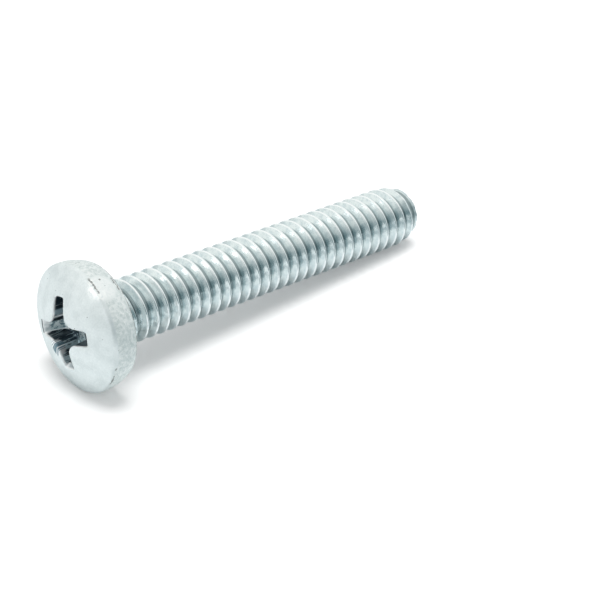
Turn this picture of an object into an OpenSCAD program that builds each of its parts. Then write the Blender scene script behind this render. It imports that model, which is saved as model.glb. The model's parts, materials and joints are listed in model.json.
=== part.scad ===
// Pan head machine screw with a cross recess, threaded almost to the head.
// It is one cold-headed and thread-rolled piece of steel, zinc plated. It lies on its
// side as it comes to rest: the rim of the head and one crest near the tip touch z = 0.
// The shape is drawn standing, with its axis on Z, the bearing face of the head at
// z = 0, the head above it and the shank below it, and is laid down at the end.

/* [Thread] */
// Diameter over the crests
major_d = 4.05; // [3.9:0.01:4.2]
// Distance from one crest to the next, 32 of them to the inch
pitch = 0.79375; // [0.7:0.00005:0.9]
// Width of the flat on each crest
crest_w = 0.1; // [0.06:0.01:0.16]
// Width of the flat at the root of the groove
root_w = 0.17; // [0.1:0.01:0.25]
// Length from the bearing face to the tip
shank_l = 25.2; // [12:0.1:32]
// Turns the whole thread about the axis
thread_turn = 53; // [0:1:359]

/* [Tip] */
// How far the end face stays inside the crests, all round
tip_inset = 0.7; // [0.5:0.01:0.9]
// Length over which the tip rounds up to the full thread
tip_round_l = 2.2; // [0.8:0.1:3]

/* [Neck] */
// Length of the neck from the bearing face to the start of the thread
neck_l = 0.8; // [0.6:0.05:1.5]
// Fillet between the neck and the bearing face
fillet_r = 0.4; // [0.2:0.01:0.45]
// Length over which the thread fades in after the neck
runout_l = 0.7; // [0.4:0.05:1.2]

/* [Head] */
// Diameter of the head at its widest place
head_d = 8.02; // [7.7:0.01:8.2]
// Height of the head from the bearing face to the top of the crown
head_h = 2.92; // [2.7:0.01:3.1]
// Radius of the domed crown
crown_r = 7.4; // [6.5:0.1:8.5]
// Rounding between the crown and the side
corner_r = 0.3; // [0.2:0.01:0.6]
// Height of the straight part of the side, just below that rounding
side_h = 0.2; // [0.05:0.01:0.4]
// Radius of the rest of the side, which draws in towards the bearing face
side_r = 2.9; // [2.5:0.1:4]
// Rounding between the side and the bearing face
edge_r = 0.12; // [0.05:0.01:0.3]

/* [Cross recess] */
// Distance across opposite wings at the surface of the crown
recess_w = 4.54; // [4.2:0.01:4.7]
// Distance across the bottom, where the driver's point cone starts
recess_bottom_d = 2.29; // [2.1:0.01:2.4]
// Slope of the outer ends of the wings, from the axis
wing_angle = 26.5; // [25:0.1:28]
// Width of a wing slot at its outer end, at the surface of the crown
wing_w = 0.88; // [0.7:0.01:1]
// How far each side wall of a slot turns in towards the outer end
wing_taper = 3.5; // [1:0.1:5]
// Draft on each side wall of a wing slot
wing_draft = 2; // [1:0.1:3]
// Rounding of the corner left standing between two wings
quarter_r = 0.85; // [0.5:0.01:1]
// Draft of those corners
quarter_draft = 5.75; // [4:0.05:7]
// Slope of the point cone at the bottom, below level
point_angle = 28; // [25:0.5:32]
// Turn of the recess about the axis, against the way the screw lies
recess_turn = 15.5; // [0:0.5:90]

/* [Hidden] */
$fn = 48;
tiny = 0.002;        // lets two arcs cross instead of only touching
lap = 0.3;           // how far one form runs into the next
flush_gap = 0.02;    // how far the threaded body stays inside the neck
ring_gap = 0.1;      // from the neck's end and from the end face to the next ring

// Thread form: 60 degrees between the flanks, a flat crest and a flat root
facets = 36;         // faces in one turn of the thread
flank_w = (pitch - crest_w - root_w) / 2;
depth = flank_w / tan(30);
minor_d = major_d - 2 * depth;
neck_d = major_d - depth;      // the blank, which rolling pushes as far out as in
tip_d = major_d - 2 * tip_inset;
// One pitch of the profile, as [distance along the axis, share of the depth]
form = [[0, 1], [crest_w, 1], [crest_w + flank_w, 0], [crest_w + flank_w + root_w, 0], [pitch, 1]];
corners = len(form) - 1;

// Places along the shank, measured from the bearing face towards the tip
core_start = neck_l - 2 * lap;       // the threaded body begins inside the neck
thread_start = neck_l + ring_gap;
thread_end = shank_l - ring_gap;
lead_in = 2;                         // turns drawn before the start, so that no line is missing
turns = ceil((thread_end - thread_start) / pitch) + lead_in + 1;

// Head: the crown's centre, and the centre of the corner arc that rolls inside it
crown_y = head_h - crown_r;
corner_x = head_d / 2 - corner_r;
corner_y = crown_y + sqrt(pow(crown_r - corner_r, 2) - pow(corner_x, 2));
blend_x = corner_x * crown_r / (crown_r - corner_r);

// Head: the side arc's centre, and the edge arc that rolls inside it on the bearing face
side_x = head_d / 2 - side_r;
side_y = corner_y - side_h;
edge_x = side_x + sqrt(pow(side_r - edge_r, 2) - pow(side_y - edge_r, 2));
edge_y = side_y - side_r * (side_y - edge_r) / (side_r - edge_r);

// Lying pose: the head's rim and the crest that reaches lowest both touch the floor
tilt = min([for (k = [0 : turns], c = [0, 1])
    let (s = line_at(k * corners + c, facets / 2), r = radius_at(s, facets / 2))
    if (s > shank_l / 2 && s < thread_end)
        let (rise = side_x - r, run = s + side_y)
        atan2(rise, run) + asin(side_r / norm([rise, run]))]);
axis_z = side_r + side_x * cos(tilt) - side_y * sin(tilt);
reach_head = (head_h - crown_r) * cos(tilt) + crown_r;
reach_tip = shank_l * cos(tilt) + tip_d / 2 * sin(tilt);

// Recess: heights above the bearing face
mouth_z = crown_y + sqrt(pow(crown_r, 2) - pow(recess_w / 2, 2));
cone_z = mouth_z - (recess_w - recess_bottom_d) / 2 / tan(wing_angle);
point_z = cone_z - recess_bottom_d / 2 * tan(point_angle);
above_z = head_h + lap;

// Recess: the corners between the wings touch the slots' walls at the top of the crown
top_w = wing_w + 2 * (head_h - mouth_z) * tan(wing_draft);
top_r = quarter_r - (head_h - mouth_z) * tan(quarter_draft);
quarter_x = (top_r / cos(wing_taper) + top_w / 2 + recess_w / 2 * tan(wing_taper))
    / (1 + tan(wing_taper));

// Which node to draw

// Distance along the shank of a line of the thread at a given column. Four lines make
// one pitch, and each line climbs one pitch in a turn of `facets` columns.
function line_at(line, column) =
    thread_start + pitch * (floor(line / corners) - lead_in + column / facets + thread_turn / 360)
    + form[line % corners][0];

// Share of the thread's depth at a distance into one pitch
function form_at(u, i = 0) =
    u <= form[i + 1][0]
        ? form[i][1] + (form[i + 1][1] - form[i][1]) * (u - form[i][0]) / (form[i + 1][0] - form[i][0])
        : form_at(u, i + 1);

// Share of full thread left near the neck, rising smoothly from 0 to 1
function fade(s) = let (t = min(max((s - thread_start) / runout_l, 0), 1)) t * t * (3 - 2 * t);

// Largest radius that the rounded tip allows
function tip_limit(s) =
    let (t = min(max((shank_l - s) / tip_round_l, 0), 1))
    (tip_d + (major_d - tip_d) * sqrt(1 - pow(1 - t, 2))) / 2;

// Radius of the threaded body at a distance along the shank and a column
function radius_at(s, column) =
    let (turned = (s - thread_start) / pitch - column / facets - thread_turn / 360 + lead_in,
         u = (turned - floor(turned)) * pitch,
         full = minor_d / 2 + depth * form_at(min(u, pitch)),
         neck = neck_d / 2 - flush_gap)
    min(neck + (full - neck) * fade(s), tip_limit(s));

// Point of the threaded body on the standing screw. The columns go round clockwise as
// the lines go down, which makes a right-hand thread.
function point_at(s, column, r) =
    let (angle = -360 * column / facets) [r * cos(angle), r * sin(angle), -s];

module machine_screw() {
    color("#c9d1d6")
    translate([(reach_head - reach_tip) / 2, 0, axis_z])
    rotate([0, tilt - 90, 0])
    difference() {
        union() {
            rotate_extrude() head_and_neck_outline();
            threaded_body();
        }
        cross_recess();
    }
}

// Half of the head's section, with the neck below it. The arcs meet at the ends of the
// straight runs, and the corner arc crosses the crown by a hair.
module head_and_neck_outline() {
    crown_outline();
    square_to(0, side_y, head_d / 2, corner_y);
    square_to(0, 0, edge_x, side_y);
    intersection() {
        translate([side_x, side_y]) circle(r = side_r);
        square_to(edge_x - lap, edge_y, head_d / 2, side_y);
    }
    intersection() {
        translate([edge_x, edge_r]) circle(r = edge_r + tiny);
        square_to(edge_x - lap, 0, head_d / 2, edge_y);
    }
    square_to(0, -neck_l, neck_d / 2, lap);
    difference() {
        square_to(0, flush_gap - fillet_r, neck_d / 2 + fillet_r - flush_gap, lap);
        translate([neck_d / 2 + fillet_r, -fillet_r]) circle(r = fillet_r);
    }
}

module crown_outline() {
    intersection() {
        translate([0, crown_y]) circle(r = crown_r);
        square_to(0, corner_y, blend_x, head_h + lap);
    }
    intersection() {
        translate([corner_x, corner_y]) circle(r = corner_r + tiny);
        square_to(corner_x - lap, corner_y, head_d / 2, head_h);
    }
}

// Rectangle from one corner to the other
module square_to(x0, y0, x1, y1) {
    translate([x0, y0]) square([x1 - x0, y1 - y0]);
}

// The punch that leaves the recess: a turned point that keeps only four tapered wings
// and the core between them. Four cones take the corners out of the core.
module cross_recess() {
    above_x = recess_w / 2 + (above_z - mouth_z) * tan(wing_angle);
    rotate([0, 0, recess_turn])
    intersection() {
        rotate_extrude()
            polygon([[0, point_z], [recess_bottom_d / 2, cone_z], [above_x, above_z], [0, above_z]]);
        union() {
            for (a = [0 : 90 : 270]) rotate([0, 0, a]) wing_slot();
            difference() {
                translate([-quarter_x, -quarter_x, point_z - lap])
                    cube([2 * quarter_x, 2 * quarter_x, above_z - point_z + 2 * lap]);
                for (a = [45 : 90 : 315]) rotate([0, 0, a]) translate([quarter_x * sqrt(2), 0, 0])
                    quarter_cone();
            }
        }
    }
}

// One wing: a slot from the axis outwards, between two walls
module wing_slot() {
    intersection() {
        translate([0, -recess_w / 2, point_z - lap])
            cube([recess_w, recess_w, above_z - point_z + 2 * lap]);
        inside_wall();
        mirror([0, 1, 0]) inside_wall();
    }
}

// The space on the inner side of a slot's wall. The wall leans in towards the bottom and
// turns in towards the outer end.
module inside_wall() {
    translate([recess_w / 2, wing_w / 2, mouth_z])
    rotate([-wing_draft, 0, -wing_taper])
    translate([-recess_w, -2 * recess_w, -recess_w])
        cube(2 * recess_w);
}

// The rounded corner of metal that stands between two wings, wider towards the bottom
module quarter_cone() {
    foot_z = point_z - 2 * lap;
    head_z = above_z + 2 * lap;
    translate([0, 0, foot_z])
    cylinder(h = head_z - foot_z,
             r1 = quarter_r + (mouth_z - foot_z) * tan(quarter_draft),
             r2 = quarter_r - (head_z - mouth_z) * tan(quarter_draft));
}

// The threaded body as one closed skin. Its points lie on helical lines, so that every
// crest and root is a clean edge. Lines that run out at either end join the end rings.
module threaded_body() {
    lines = turns * corners;
    ring = lines * facets;       // index of the first ring point, after the lines' points
    rings = [[core_start, neck_d / 2 - flush_gap], [thread_start, 0], [thread_end, 0],
             [shank_l, tip_d / 2]];

    line_points = [for (line = [0 : lines - 1], i = [0 : facets - 1])
        let (s = min(max(line_at(line, i), thread_start), thread_end))
        point_at(s, i, radius_at(s, i))];
    ring_points = [for (place = rings, i = [0 : facets - 1])
        point_at(place[0], i, place[1] > 0 ? place[1] : radius_at(place[0], i))];

    // A line's point at a column. One full turn on, the line has become the line of
    // the next pitch.
    function index(line, i) =
        i == facets ? index(line + corners, 0)
        : line_at(line, i) < thread_start + flush_gap ? ring + facets + i
        : line_at(line, i) > thread_end - flush_gap ? ring + 2 * facets + i
        : line * facets + i;
    function ring_index(k, i) = ring + k * facets + i % facets;

    skin = [for (line = [0 : lines - 1], i = [0 : facets - 1])
        let (a = index(line, i), b = index(line + 1, i),
             c = index(line + 1, i + 1), d = index(line, i + 1))
        each [if (a != b) [a, b, c], if (c != d) [a, c, d]]];
    ends = [for (k = [0, 2], i = [0 : facets - 1])
        each [[ring_index(k, i), ring_index(k + 1, i), ring_index(k + 1, i + 1)],
              [ring_index(k, i), ring_index(k + 1, i + 1), ring_index(k, i + 1)]]];
    caps = [[for (i = [0 : facets - 1]) ring_index(0, i)],
            [for (i = [facets - 1 : -1 : 0]) ring_index(3, i)]];

    polyhedron(points = concat(line_points, ring_points), faces = concat(skin, ends, caps));
}

machine_screw();
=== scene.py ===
import json
import math
import bmesh
import bpy
from mathutils import Matrix, Vector, noise


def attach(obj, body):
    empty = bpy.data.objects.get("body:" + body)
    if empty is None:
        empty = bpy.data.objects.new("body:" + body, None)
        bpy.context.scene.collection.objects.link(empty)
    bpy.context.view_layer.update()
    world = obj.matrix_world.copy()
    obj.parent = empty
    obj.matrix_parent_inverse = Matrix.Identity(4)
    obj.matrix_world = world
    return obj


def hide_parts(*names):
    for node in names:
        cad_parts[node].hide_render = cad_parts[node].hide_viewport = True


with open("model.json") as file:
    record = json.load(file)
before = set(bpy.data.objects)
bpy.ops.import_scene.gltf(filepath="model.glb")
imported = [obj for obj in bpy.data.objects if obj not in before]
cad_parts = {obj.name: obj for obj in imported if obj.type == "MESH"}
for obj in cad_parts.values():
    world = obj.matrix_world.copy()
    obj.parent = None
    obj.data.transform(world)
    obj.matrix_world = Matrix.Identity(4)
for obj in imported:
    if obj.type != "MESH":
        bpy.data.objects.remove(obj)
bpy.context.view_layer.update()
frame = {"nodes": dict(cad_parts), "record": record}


# Head and neck. The real head is struck cold from steel wire in a few blows, which leaves
# soft corners, and the last blow punches in the cross. The form is the CAD node's own, cut
# off in the neck and skinned again in small even facets, which the knocks then dent.

# The screw is worked in millimetres, standing on its axis with the bearing face at z = 0
# and the shank below, and is then laid down where the CAD model has it
MM = 0.001
seat = next(m for m in frame["record"]["mounts"] if m["name"] == "bearing_face")
towards_tip = Vector(seat["axis"]).normalized()
bearing_centre = Vector((seat["pos_m"][0], 0, seat["pos_m"][2]))
across = Vector((0, 1, 0))
seat_turn = Matrix((towards_tip.cross(across), across, -towards_tip)).transposed()
lay_down = Matrix.Translation(bearing_centre) @ seat_turn.to_4x4() @ Matrix.Scale(MM, 4)

neck_cut_z = -0.62          # the head is cut off here, and the thread is joined on
near_cut = 0.1              # the open edges of a cut lie within this of it
on_cut = 1e-5
merge_gap = 1e-4
skin_size = 0.06
skin_passes = 2
head_h = 2.92
crown_r = 7.4
crown_centre_z = head_h - crown_r
rim_r = 3.96                # the edge of the crown
rim_z = 1.66


def on_rim(degrees, r=rim_r, z=rim_z):
    """A place on the edge of the crown. Straight up is 0, and the near side is negative."""
    return Vector((r * math.cos(math.radians(degrees)), r * math.sin(math.radians(degrees)), z))


# Each knock: its middle, how far it reaches along the rim and across it, and its depth
knocks = (
    (on_rim(-108), 0.75, 0.26, 0.10),
    (on_rim(-121, z=1.55), 0.40, 0.24, 0.06),
    (on_rim(-31, z=1.45), 0.55, 0.22, 0.05),
    (on_rim(-19, z=1.72), 0.28, 0.18, 0.04),
    (on_rim(28), 0.50, 0.20, 0.05),
    (on_rim(96), 0.60, 0.24, 0.06),
    (on_rim(170), 0.45, 0.22, 0.05),
    (on_rim(-160), 0.35, 0.20, 0.05),
    (on_rim(-75, z=1.5), 0.30, 0.18, 0.03),
)


def cut_away(bm, z, upper):
    """Removes what lies above or below a level, and leaves the edge open."""
    bmesh.ops.bisect_plane(bm, geom=bm.verts[:] + bm.edges[:] + bm.faces[:], dist=on_cut,
                           plane_co=(0, 0, z), plane_no=(0, 0, 1),
                           clear_outer=upper, clear_inner=not upper)


def struck_head():
    """The head and the stub of the neck as one even skin, open at the cut."""
    bm = bmesh.new()
    bm.from_mesh(frame["nodes"]["machine_screw"].data)
    bm.transform(lay_down.inverted())
    bmesh.ops.remove_doubles(bm, verts=bm.verts, dist=merge_gap)
    cut_away(bm, neck_cut_z - near_cut, upper=False)
    bmesh.ops.holes_fill(bm, edges=[e for e in bm.edges if e.is_boundary])
    mesh = bpy.data.meshes.new("head_form")
    bm.to_mesh(mesh)
    form = bpy.data.objects.new("head_form", mesh)
    bpy.context.scene.collection.objects.link(form)
    skin = form.modifiers.new("even_skin", "REMESH")
    skin.mode = "VOXEL"
    skin.voxel_size = skin_size
    bpy.context.view_layer.update()
    finished = form.evaluated_get(bpy.context.evaluated_depsgraph_get())
    skinned = bpy.data.meshes.new_from_object(finished)
    bpy.data.objects.remove(form)
    bm.clear()
    bm.from_mesh(skinned)
    for _ in range(skin_passes):
        bmesh.ops.smooth_vert(bm, verts=bm.verts, factor=0.5, use_axis_x=True, use_axis_y=True,
                              use_axis_z=True)
    cut_away(bm, neck_cut_z, upper=False)
    return bm


def knock(bm, middle, along, over, depth):
    """A shallow dent that is longer along the rim than across it."""
    run = Vector((-middle.y, middle.x, 0)).normalized()
    for v in bm.verts:
        off = v.co - middle
        if off.length < along:
            lengthwise = off.dot(run)
            reach = (lengthwise / along) ** 2 + (off - run * lengthwise).length_squared / over ** 2
            if reach < 1:
                v.co -= v.normal * depth * (1 - reach) ** 2


screw_bm = struck_head()
screw_bm.normal_update()
for place in knocks:
    knock(screw_bm, *place)


# Shank. The thread is rolled between two dies, which push the crests out of the blank and
# leave every corner a little round. It fades out in the neck, and at the tip the sheared
# end is turned over, so the last thread starts in a rough rounded edge.
thread_r = 4.05 / 2
pitch = 0.79375
crest_w = 0.1
root_w = 0.17
corner_round = 0.04
half_form = 30              # degrees between a flank and the radius
flank_w = (pitch - crest_w - root_w) / 2
root_r = thread_r - flank_w / math.tan(math.radians(half_form))
neck_r = (thread_r + root_r) / 2
neck_gap = 0.03             # left between the head and the thread, and then bridged
thread_start_z = -0.9
thread_turn = 53            # degrees
runout_l = 0.7
shank_l = 25.2
tip_draw_in = 0.7
tip_r = thread_r - tip_draw_in
tip_round_l = 2.2
tip_edge_r = 0.1
tip_rings = (0.01, 0.03, 0.06, 0.1, 0.15)   # extra edges, so that the turned-over end is round
tip_ridge = 0.2             # what is left of the thread's depth at the very end
lump_depth, lump_scale = 0.10, 1.7
burr_depth, burr_scale = 0.05, 5
end_shrink = 0.05
columns = 64                # facets in one turn
sharp_angle = 40            # degrees


def thread_outline(bm, top_z):
    """One pitch of the thread's section, root to root, with rounded corners."""
    crest_top = root_w / 2 + flank_w
    steps = [(root_r, 0), (root_r, root_w / 2), (thread_r, crest_top),
             (thread_r, crest_top + crest_w), (root_r, pitch - root_w / 2), (root_r, pitch)]
    verts = [bm.verts.new((r, 0, top_z - down)) for r, down in steps]
    for a, b in zip(verts, verts[1:]):
        bm.edges.new((a, b))
    bmesh.ops.bevel(bm, geom=verts[1:-1], offset=corner_round, offset_type="OFFSET", segments=3,
                    profile=0.5, affect="VERTICES", material=-1)
    return bm.verts[:] + bm.edges[:]


def rolled_thread():
    """The threaded stretch from the neck to the sheared end, open at both ends."""
    turns = math.ceil((shank_l + thread_start_z) / pitch) + 2
    # The section starts two turns above the neck, so that no crest is missing there
    top_z = thread_start_z + pitch * (2 - thread_turn / 360) + root_w / 2 + flank_w
    bm = bmesh.new()
    bmesh.ops.spin(bm, geom=thread_outline(bm, top_z), cent=(0, 0, 0), axis=(0, 0, 1),
                   dvec=(0, 0, -pitch / columns), angle=-2 * math.pi, steps=columns,
                   use_duplicate=False)
    one_turn = bm.verts[:] + bm.edges[:] + bm.faces[:]
    for turn in range(1, turns):
        next_turn = bmesh.ops.duplicate(bm, geom=one_turn)["geom"]
        bmesh.ops.translate(bm, vec=(0, 0, -pitch * turn),
                            verts=[v for v in next_turn if isinstance(v, bmesh.types.BMVert)])
    bmesh.ops.remove_doubles(bm, verts=bm.verts, dist=merge_gap)
    cut_away(bm, neck_cut_z - neck_gap, upper=True)
    cut_away(bm, -shank_l, upper=False)
    for back in tip_rings:
        bmesh.ops.bisect_plane(bm, geom=bm.verts[:] + bm.edges[:] + bm.faces[:], dist=on_cut,
                               plane_co=(0, 0, back - shank_l), plane_no=(0, 0, 1))
    return bm


def blend_ends(bm):
    """Fades the thread into the neck and turns the sheared end over."""
    for v in bm.verts:
        r = math.hypot(v.co.x, v.co.y)
        t = min(max((thread_start_z - v.co.z) / runout_l, 0), 1)
        wanted = neck_r + (r - neck_r) * t * t * (3 - 2 * t)
        left = max(shank_l + v.co.z, 0)
        if left < tip_round_l:
            u = left / tip_round_l
            edge = max(1 - left / tip_edge_r, 0)
            crest = (tip_r + (thread_r - tip_r) * math.sqrt(1 - (1 - u) ** 2)
                     - tip_edge_r * (1 - math.sqrt(1 - edge * edge)))
            root = min(root_r, crest - tip_ridge)
            wanted = root + (crest - root) * (r - root_r) / (thread_r - root_r)
            lumps = lump_depth * noise.noise(v.co * lump_scale)
            burrs = burr_depth * noise.noise(v.co * burr_scale)
            wanted += (1 - u) * (lumps + burrs - end_shrink)
        v.co.x *= wanted / r
        v.co.y *= wanted / r


thread_bm = rolled_thread()
blend_ends(thread_bm)
thread_mesh = bpy.data.meshes.new("thread_form")
thread_bm.to_mesh(thread_mesh)
screw_bm.from_mesh(thread_mesh)


def open_edges(bm, z):
    """The edges that a cut at a level has left open."""
    return [e for e in bm.edges
            if e.is_boundary and all(abs(v.co.z - z) < near_cut for v in e.verts)]


bmesh.ops.bridge_loops(screw_bm, edges=open_edges(screw_bm, neck_cut_z))
bmesh.ops.contextual_create(screw_bm, geom=open_edges(screw_bm, -shank_l))
bmesh.ops.recalc_face_normals(screw_bm, faces=screw_bm.faces)
screw_bm.transform(lay_down)
for face in screw_bm.faces:
    face.smooth = True
screw_mesh = bpy.data.meshes.new("machine_screw_body")
screw_bm.to_mesh(screw_mesh)
screw_mesh.set_sharp_from_angle(angle=math.radians(sharp_angle))
screw = bpy.data.objects.new("machine_screw_body", screw_mesh)
bpy.context.scene.collection.objects.link(screw)


# Finish. Bright zinc goes on in a plating barrel, and a clear blue dip follows it. The head
# stays finely grained with small pits, the rolled flanks carry fine lines round the screw,
# and the punched cross keeps the drag lines of the punch, with painted shade on its walls.
zinc = bpy.data.materials.new("bright_zinc_plate")
zinc.use_nodes = True
nodes, links = zinc.node_tree.nodes, zinc.node_tree.links
plate = nodes["Principled BSDF"]


def node(kind, inputs=(), **settings):
    """A shader node in the material at hand, with values or links for its inputs."""
    made = nodes.new(kind)
    for name, value in settings.items():
        setattr(made, name, value)
    for key, value in dict(inputs).items():
        if isinstance(value, bpy.types.NodeSocket):
            links.new(value, made.inputs[key])
        else:
            made.inputs[key].default_value = value
    return made


def maths(operation, a, b=0.0):
    return node("ShaderNodeMath", {0: a, 1: b}, operation=operation).outputs[0]


def ramp(value, low, high, to_low=0.0, to_high=1.0):
    """Goes smoothly from one value to another as the input passes from low to high."""
    return node("ShaderNodeMapRange", {"Value": value, "From Min": low, "From Max": high,
                                       "To Min": to_low, "To Max": to_high},
                interpolation_type="SMOOTHSTEP").outputs["Result"]


def grain(place, scale, detail=2.0, roughness=0.5):
    """Cloudy noise from 0 to 1 that is even all over."""
    return node("ShaderNodeTexNoise", {"Vector": place, "Scale": scale, "Detail": detail,
                                       "Roughness": roughness}).outputs["Fac"]


def tint(share, colour_a, colour_b):
    """Goes from the first colour to the second as the share goes from 0 to 1."""
    made = node("ShaderNodeMix", {"Factor": share}, data_type="RGBA")
    for socket, colour in ((made.inputs[6], colour_a), (made.inputs[7], colour_b)):
        if isinstance(colour, bpy.types.NodeSocket):
            links.new(colour, socket)
        else:
            socket.default_value = (*colour, 1)
    return made.outputs[2]


def between(share, a, b):
    """Mixes two numbers as tint mixes two colours."""
    made = node("ShaderNodeMix", {"Factor": share}, data_type="FLOAT")
    for socket, value in ((made.inputs[2], a), (made.inputs[3], b)):
        if isinstance(value, bpy.types.NodeSocket):
            links.new(value, socket)
        else:
            socket.default_value = value
    return made.outputs[0]


# Places in millimetres on the standing screw, and the regions that the finish tells apart
standing = node("ShaderNodeMapping",
                {"Vector": node("ShaderNodeTexCoord").outputs["Object"], "Location": bearing_centre,
                 "Rotation": seat_turn.to_euler(), "Scale": (MM, MM, MM)},
                vector_type="TEXTURE").outputs[0]
xyz = node("ShaderNodeSeparateXYZ", {0: standing})
height = xyz.outputs["Z"]
flat = node("ShaderNodeVectorMath", {0: standing, 1: (1, 1, 0)}, operation="MULTIPLY").outputs[0]
from_axis = node("ShaderNodeVectorMath", {0: flat}, operation="LENGTH").outputs["Value"]
from_crown = node("ShaderNodeVectorMath", {0: standing, 1: (0, 0, crown_centre_z)},
                  operation="DISTANCE").outputs["Value"]
under_crown = maths("SUBTRACT", crown_r, from_crown)

# The head's finish gives way to the shank's in the neck, and its side is coarser than the
# crown. The punched cross widens from the bottom to the mouth like a cone.
on_head = ramp(height, -0.55, -0.25)
on_side = maths("MULTIPLY", ramp(from_axis, 3.4, 3.6), ramp(under_crown, 0.08, 0.16))
punch_r, punch_widens = 1.12, 0.5
punch_gap = maths("SUBTRACT", from_axis, maths("MULTIPLY", height, punch_widens))
in_punch = ramp(punch_gap, punch_r, punch_r - 0.12)
in_recess = maths("MULTIPLY", in_punch, ramp(under_crown, 0.02, 0.22))

# How high a place stands in the thread, from 0 in the root to 1 on the crest
up_tip = node("ShaderNodeMapRange", {"Value": height, "From Min": -shank_l,
                                     "From Max": tip_round_l - shank_l}).outputs["Result"]
down_tip = maths("SUBTRACT", 1.0, up_tip)
crest_here = maths("ADD", tip_r, maths("MULTIPLY", thread_r - tip_r, maths(
    "SQRT", maths("SUBTRACT", 1.0, maths("MULTIPLY", down_tip, down_tip)))))
root_here = maths("MINIMUM", root_r, maths("SUBTRACT", crest_here, tip_ridge))
in_thread = maths("DIVIDE", maths("SUBTRACT", from_axis, root_here),
                  maths("SUBTRACT", crest_here, root_here))
# A painted highlight along the crests
crest_highlight = ramp(in_thread, 0.82, 0.95)
# Painted shade in the thread's roots, fading out at the very end of the shank
groove_shade = maths("MULTIPLY", ramp(in_thread, 0.26, 0.04),
                  ramp(height, 0.12 - shank_l, 0.4 - shank_l))

# Round the screw: the turn, the distance from the axis and the height, for lines that
# follow the thread. The turn is read as a circle, so it has no seam.
circle = node("ShaderNodeVectorMath", {0: flat}, operation="NORMALIZE").outputs[0]
rolled = node("ShaderNodeCombineXYZ",
              {"Z": maths("ADD", maths("MULTIPLY", height, 4.0),
                          maths("MULTIPLY", from_axis, 7.0))})
along_thread = node("ShaderNodeVectorMath", {0: circle, 1: rolled.outputs[0]},
                    operation="ADD").outputs[0]

# Down the cross: lines that are drawn out along the punch's way
dragged = node("ShaderNodeVectorMath", {0: standing, 1: (7.5, 7.5, 0.5)},
               operation="MULTIPLY").outputs[0]

# The plate's own unevenness, from fine grain to cloudy patches
fine_grain = grain(standing, 9.0, 4.0, 0.7)
speckle = grain(standing, 5.0, 4.0, 0.7)
ragged = grain(standing, 5.0, 3.0, 0.7)
cloud = grain(standing, 1.1, 3.0, 0.55)
patches = grain(standing, 2.6, 3.0, 0.6)
roll_lines = grain(along_thread, 3.0, 3.0, 0.65)
drag_lines = grain(dragged, 1.0, 3.0, 0.65)
drag_bands = grain(standing, 1.7, 1.0)
pit_cells = node("ShaderNodeTexVoronoi", {"Vector": standing, "Scale": 2.3, "Randomness": 1.0})
pits = maths("MULTIPLY", ramp(pit_cells.outputs["Distance"], 0.1, 0.04),
             ramp(grain(standing, 0.9, 1.0), 0.5, 0.6))

# Worn places along the edge of the crown: ragged dark chips here and there, the deepest one low on
# the near side, and a burnished stretch at the top on the near side, which also carries a painted
# highlight
beside_rim = node("ShaderNodeCombineXYZ", {"X": maths("SUBTRACT", from_axis, rim_r),
                                           "Y": maths("SUBTRACT", height, rim_z)})
rim_gap = node("ShaderNodeVectorMath", {0: beside_rim.outputs[0]},
               operation="LENGTH").outputs["Value"]
ragged_gap = maths("ADD", rim_gap, maths("MULTIPLY", maths("SUBTRACT", ragged, 0.5), 0.3))


def around(middle, reach):
    """1 near a place on the screw and 0 beyond the reach."""
    apart = node("ShaderNodeVectorMath", {0: standing, 1: middle},
                 operation="DISTANCE").outputs["Value"]
    return ramp(apart, reach, reach * 0.7)


chip_places = maths("MAXIMUM", around(on_rim(-112), 0.85), around(on_rim(-24, z=1.6), 0.7))
chip_places = maths("MAXIMUM", chip_places, ramp(grain(circle, 2.2, 2.0), 0.6, 0.66))
chips = maths("MULTIPLY", ramp(ragged_gap, 0.055, 0.015), chip_places)
chips = maths("MAXIMUM", chips, around(on_rim(-20, z=1.1), 0.08))
low_gap = maths("ABSOLUTE", maths("SUBTRACT", height, maths("MULTIPLY", ragged, 0.5)))
low_scratch = maths("MULTIPLY", ramp(low_gap, 0.06, 0.02), ramp(from_axis, 3.55, 3.65))
low_scratch = maths("MULTIPLY", low_scratch, around(on_rim(-27, r=3.8, z=0.25), 0.55))
chips = maths("MAXIMUM", chips, low_scratch)
burnish_and_highlight = maths("MULTIPLY", around(on_rim(-28, z=1.25), 1.0), ramp(ragged, 0.42, 0.5))
# Painted shade: a ragged dark line low on the side, along the bearing edge
bearing_edge_shade = maths("MULTIPLY", ramp(height, 0.15, 0.05), ramp(from_axis, 3.5, 3.58))
bearing_edge_shade = maths("MULTIPLY", bearing_edge_shade, ramp(ragged, 0.4, 0.55, 0.25, 1.0))

# Colour of the plate
painted_highlight_white = (1.0, 1.0, 1.0)
bare_and_shade_dark = (0.22, 0.22, 0.21)
pit_dark = (0.28, 0.29, 0.30)
head_colour = tint(ramp(cloud, 0.35, 0.7), (0.91, 0.945, 0.945), (0.81, 0.85, 0.85))
head_colour = tint(ramp(fine_grain, 0.35, 0.65, 0.0, 0.12), head_colour, (0.4, 0.45, 0.46))
side_colour = tint(ramp(speckle, 0.3, 0.68), (0.98, 0.995, 0.985), (0.71, 0.76, 0.75))
head_colour = tint(on_side, head_colour, side_colour)
# Painted highlight: the burnished stretch is lighter
head_colour = tint(burnish_and_highlight, head_colour, (0.97, 0.98, 0.97))
# The chips are wear; the line along the bearing edge is painted shade
head_colour = tint(maths("MAXIMUM", maths("MULTIPLY", chips, 0.8), bearing_edge_shade), head_colour,
                   bare_and_shade_dark)
shank_colour = tint(ramp(patches, 0.35, 0.7), (0.82, 0.87, 0.87), (0.66, 0.74, 0.76))
# Painted shade: the roots are darker
shank_colour = tint(groove_shade, shank_colour, (0.36, 0.42, 0.43))
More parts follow.
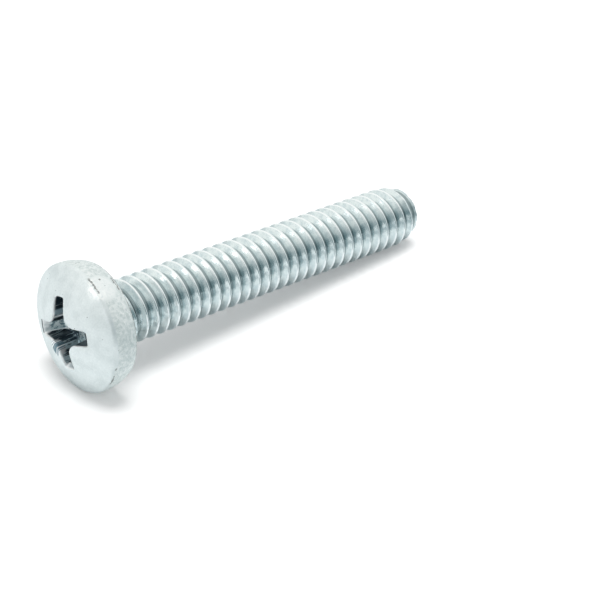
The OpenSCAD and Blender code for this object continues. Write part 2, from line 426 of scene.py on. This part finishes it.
# Painted highlight: the crests are lighter
shank_colour = tint(crest_highlight, shank_colour, (0.99, 1.0, 1.0))
plate_colour = tint(on_head, shank_colour, head_colour)
plate_colour = tint(maths("MULTIPLY", pits, on_head), plate_colour, pit_dark)

# In the cross the steep walls took the punch's drag and carry painted shade, lighter on the low
# side, the sloping bottoms of the slots stay paler, and a smear of metal over the mouth's low side
# carries painted glints
recess_turn = 15.5          # degrees
slots = node("ShaderNodeVectorRotate", {"Vector": flat, "Angle": math.radians(-recess_turn)},
             rotation_type="Z_AXIS")
slot_xy = node("ShaderNodeSeparateXYZ", {0: slots.outputs[0]})
slot_x, slot_y = slot_xy.outputs["X"], slot_xy.outputs["Y"]
beside_slot = maths("MINIMUM", maths("ABSOLUTE", slot_x), maths("ABSOLUTE", slot_y))


def line_at(value, middle, half):
    """1 where a value is near the middle and 0 beyond half a line's width."""
    return ramp(maths("ABSOLUTE", maths("SUBTRACT", value, middle)), half, half * 0.5)


on_wall = ramp(beside_slot, 0.27, 0.34)
low_side = ramp(maths("SUBTRACT", xyz.outputs["Y"], xyz.outputs["X"]), 0.9, 1.7)
low_wall = maths("MULTIPLY", ramp(slot_x, -0.6, -0.95), ramp(slot_y, 0.2, 0.35))
fan_lines = grain(circle, 6.0, 2.0, 0.6)
drag_shade = maths("ADD", drag_lines,
                   maths("MULTIPLY", maths("SUBTRACT", drag_bands, 0.5), 0.3))
bottom_colour = tint(ramp(drag_shade, 0.48, 0.58), (0.93, 1.0, 1.0), (0.26, 0.36, 0.40))
# Painted shade: the walls of the right slot are darker
drag_shade = maths("ADD", drag_shade, ramp(slot_y, -0.7, -1.0, 0.0, 0.12))
# Painted light: the walls on the low side are lighter
wall_streak_level = maths("SUBTRACT", drag_shade, maths("MULTIPLY", low_wall, 0.12))
# Painted shade: the steep walls are near black between pale streaks
wall_streaks_and_shade = tint(ramp(wall_streak_level, 0.33, 0.45), (0.72, 0.86, 0.90), (0.045, 0.07, 0.09))
recess_colour = tint(on_wall, bottom_colour, wall_streaks_and_shade)

# Single marks: on the top slot's left wall a pale step, with a painted highlight along its edge
# and a painted shadow at its foot, and in the left slot a painted highlight line along a corner
beyond_slot = ramp(slot_y, 0.4, 0.5)
in_left_slot = ramp(slot_y, 1.2, 1.4)
for line_x, half_width, reach, line_colour in (
        (1.2, 0.2, beyond_slot, (0.50, 0.64, 0.70)), (0.91, 0.08, beyond_slot, painted_highlight_white),
        (0.73, 0.08, beyond_slot, (0.03, 0.05, 0.06)),
        (-0.34, 0.05, in_left_slot, (0.95, 1.0, 1.0))):
    line = maths("MULTIPLY", line_at(slot_x, line_x, half_width), reach)
    recess_colour = tint(line, recess_colour, line_colour)
# Painted highlights at the outer ends of the left and bottom slots
wing_end_glints = maths("MULTIPLY", ramp(from_axis, 2.02, 2.12), low_side)
recess_colour = tint(wing_end_glints, recess_colour, painted_highlight_white)
plate_colour = tint(in_recess, plate_colour, recess_colour)

# The mouth's edge with a painted highlight, a smear of metal over its low corner with painted
# glints, and painted shade at the left slot's end
mouth_edge_highlight = maths("MULTIPLY", ramp(under_crown, 0.02, 0.05), ramp(under_crown, 0.16, 0.1))
# Painted highlight along the mouth's edge
plate_colour = tint(maths("MULTIPLY", in_punch, mouth_edge_highlight), plate_colour, painted_highlight_white)
# The smear: dark metal with painted glints in fanning lines
smear_and_glint_colour = tint(ramp(fan_lines, 0.47, 0.50), (0.16, 0.25, 0.30), painted_highlight_white)
smear_with_glints = around(Vector((-1.2, 0.45, 2.75)), 0.6)
plate_colour = tint(smear_with_glints, plate_colour, smear_and_glint_colour)
# Painted shade: a dark line at the far end of the left slot
left_slot_end_shade = maths("MULTIPLY", in_left_slot, ramp(beside_slot, 0.46, 0.42))
left_slot_end_shade = maths("MULTIPLY", line_at(from_axis, 2.33, 0.08), left_slot_end_shade)
left_slot_end_shade = maths("MULTIPLY", left_slot_end_shade, ramp(height, 1.0, 1.5))
plate_colour = tint(left_slot_end_shade, plate_colour, (0.05, 0.07, 0.08))
links.new(plate_colour, plate.inputs["Base Color"])
links.new(ramp(on_head, 0.0, 1.0, 1.0, 0.78), plate.inputs["Metallic"])

# Roughness: a satin head with a duller side, polished flanks and a dull sheared end
head_rough = maths("ADD", ramp(fine_grain, 0.3, 0.7, 0.38, 0.50),
                   maths("MULTIPLY", on_side, 0.12))
head_rough = between(burnish_and_highlight, head_rough, 0.3)
at_end = maths("MULTIPLY", ramp(height, 1.3 - shank_l, 0.5 - shank_l), 0.7)
shank_rough = between(at_end, ramp(patches, 0.3, 0.7, 0.12, 0.24), 0.5)
plate_rough = between(in_recess, between(on_head, shank_rough, head_rough), 0.34)
links.new(plate_rough, plate.inputs["Roughness"])

# Relief: grain and pits on the head, rolling lines on the thread, drag lines in the recess
relief_head = maths("SUBTRACT", fine_grain, maths("ADD", pits, maths("MULTIPLY", chips, 3.0)))
relief_thread = maths("ADD", maths("MULTIPLY", roll_lines, 0.7), maths("MULTIPLY", patches, 1.3))
relief_cross = maths("MULTIPLY", drag_lines, 2.5)
relief = between(in_recess, between(on_head, relief_thread, relief_head), relief_cross)
relief_depth = 0.008 * MM
bump = node("ShaderNodeBump", {"Height": relief, "Strength": 1.0, "Distance": relief_depth})
links.new(bump.outputs["Normal"], plate.inputs["Normal"])

screw.data.materials.append(zinc)
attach(screw, "root")
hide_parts("machine_screw")


# Table. A plain white sheet, which looks pure white to the camera, apart from the shadow.
# Polished metal sees it painted greyer, with painted shade on the near side, except below the head.
table_half = 0.18
sheet_glow = 0.16
dark_from_y = (-0.0050, -0.0060)
by_head_x = (-0.0060, -0.0085)
by_head_y = (-0.0068, -0.0080)
table_bm = bmesh.new()
bmesh.ops.create_grid(table_bm, x_segments=1, y_segments=1, size=table_half)
table_mesh = bpy.data.meshes.new("table")
table_bm.to_mesh(table_mesh)
table = bpy.data.objects.new("table", table_mesh)
bpy.context.scene.collection.objects.link(table)
white_sheet = bpy.data.materials.new("white_sheet")
white_sheet.use_nodes = True
nodes, links = white_sheet.node_tree.nodes, white_sheet.node_tree.links
sheet = nodes["Principled BSDF"]
sheet.inputs["Roughness"].default_value = 0.9
sheet.inputs["Specular IOR Level"].default_value = 0.0
sheet.inputs["Emission Color"].default_value = (1, 1, 1, 1)
path = node("ShaderNodeLightPath")
links.new(maths("MULTIPLY", path.outputs["Is Camera Ray"], sheet_glow),
          sheet.inputs["Emission Strength"])
on_table = node("ShaderNodeSeparateXYZ", {0: node("ShaderNodeTexCoord").outputs["Object"]})
table_x, table_y = on_table.outputs["X"], on_table.outputs["Y"]
by_head = maths("MULTIPLY", ramp(table_x, *by_head_x), ramp(table_y, *by_head_y))
# Painted shade, seen only in reflections: the near side beyond the shank is darker
near_side_shade = maths("MULTIPLY", ramp(table_y, *dark_from_y), maths("SUBTRACT", 1.0, by_head))
mirrored = tint(near_side_shade, (0.78, 0.84, 0.85), (0.34, 0.42, 0.44))
sheet_colour = tint(path.outputs["Is Glossy Ray"], (0.93, 0.93, 0.93), mirrored)
links.new(sheet_colour, sheet.inputs["Base Color"])
table.data.materials.append(white_sheet)


# Light. One broad soft lamp overhead, a little to the near side, in a pale room. Polished
# metal sees the near wall as a darker band that clears upwards, and a small bright window
# on the head's side, which draw its shape.
lamp_data = bpy.data.lights.new("overhead", "AREA")
lamp_data.shape = "DISK"
lamp_data.size = 0.27
lamp_data.energy = 1.5
lamp = bpy.data.objects.new("overhead", lamp_data)
lamp.location = (0, -0.02, 0.46)
lamp.visible_glossy = False     # the metal mirrors the pale ceiling instead
bpy.context.scene.collection.objects.link(lamp)

room = bpy.data.worlds.new("pale_room")
bpy.context.scene.world = room
room.use_nodes = True
nodes, links = room.node_tree.nodes, room.node_tree.links
wall = nodes["Background"]
way = node("ShaderNodeTexCoord").outputs["Generated"]
direction = node("ShaderNodeSeparateXYZ", {0: way})
upwards = direction.outputs["Z"]
near_wall = tint(ramp(upwards, 0.3, 1.05), (0.17, 0.25, 0.27), (0.97, 1.0, 0.985))
back_wall = tint(ramp(upwards, 0.0, 0.3), (0.55, 0.62, 0.63), (0.94, 0.98, 0.965))
towards_back = maths("SUBTRACT", maths("MULTIPLY", direction.outputs["Y"], 0.85),
                     maths("MULTIPLY", direction.outputs["X"], 0.4))
room_colour = tint(ramp(towards_back, -0.3, 0.5), near_wall, back_wall)
room_colour = tint(ramp(direction.outputs["X"], 0.25, 0.75), room_colour, (0.80, 0.86, 0.86))
window_way = Vector((-0.872, 0.23, 0.435))
window_reach, window_core = 0.16, 0.06
from_window = node("ShaderNodeVectorMath", {0: way, 1: window_way}, operation="DISTANCE")
in_window = ramp(from_window.outputs["Value"], window_reach, window_core)
room_colour = tint(in_window, room_colour, (3.0, 3.0, 3.0))

# The walls are seen by polished metal only: they light the screw evenly, and the camera
# sees white
path = node("ShaderNodeLightPath")
seen = tint(path.outputs["Is Glossy Ray"], (0.5, 0.5, 0.5), room_colour)
seen = tint(path.outputs["Is Camera Ray"], seen, (1, 1, 1))
links.new(seen, wall.inputs["Color"])


# Camera, at the photograph's angle: behind and above the head, looking along the shank.
camera_place = Vector((-61.685, -73.83, 62.86)) * MM
camera_yaw = 0.7328         # radians, as the next two are
camera_dip = 0.5742
camera_roll = 0.0121
camera_f = 1800.0       # in the photograph's pixels
frame_px = 600.0

look = Vector((math.cos(camera_dip) * math.sin(camera_yaw),
               math.cos(camera_dip) * math.cos(camera_yaw), -math.sin(camera_dip)))
right = look.cross(Vector((0, 0, 1))).normalized()
up = right.cross(look)
rolled_right = right * math.cos(camera_roll) + up * math.sin(camera_roll)
rolled_up = up * math.cos(camera_roll) - right * math.sin(camera_roll)
camera_data = bpy.data.cameras.new("camera")
camera_data.sensor_width = 36
camera_data.lens = camera_data.sensor_width * camera_f / frame_px
camera_data.clip_start = 0.005
camera = bpy.data.objects.new("camera", camera_data)
camera_turn = Matrix((rolled_right, rolled_up, -look)).transposed()
camera.matrix_world = Matrix.Translation(camera_place) @ camera_turn.to_4x4()
bpy.context.scene.collection.objects.link(camera)
bpy.context.scene.camera = camera

bpy.context.scene.view_settings.view_transform = "Standard"
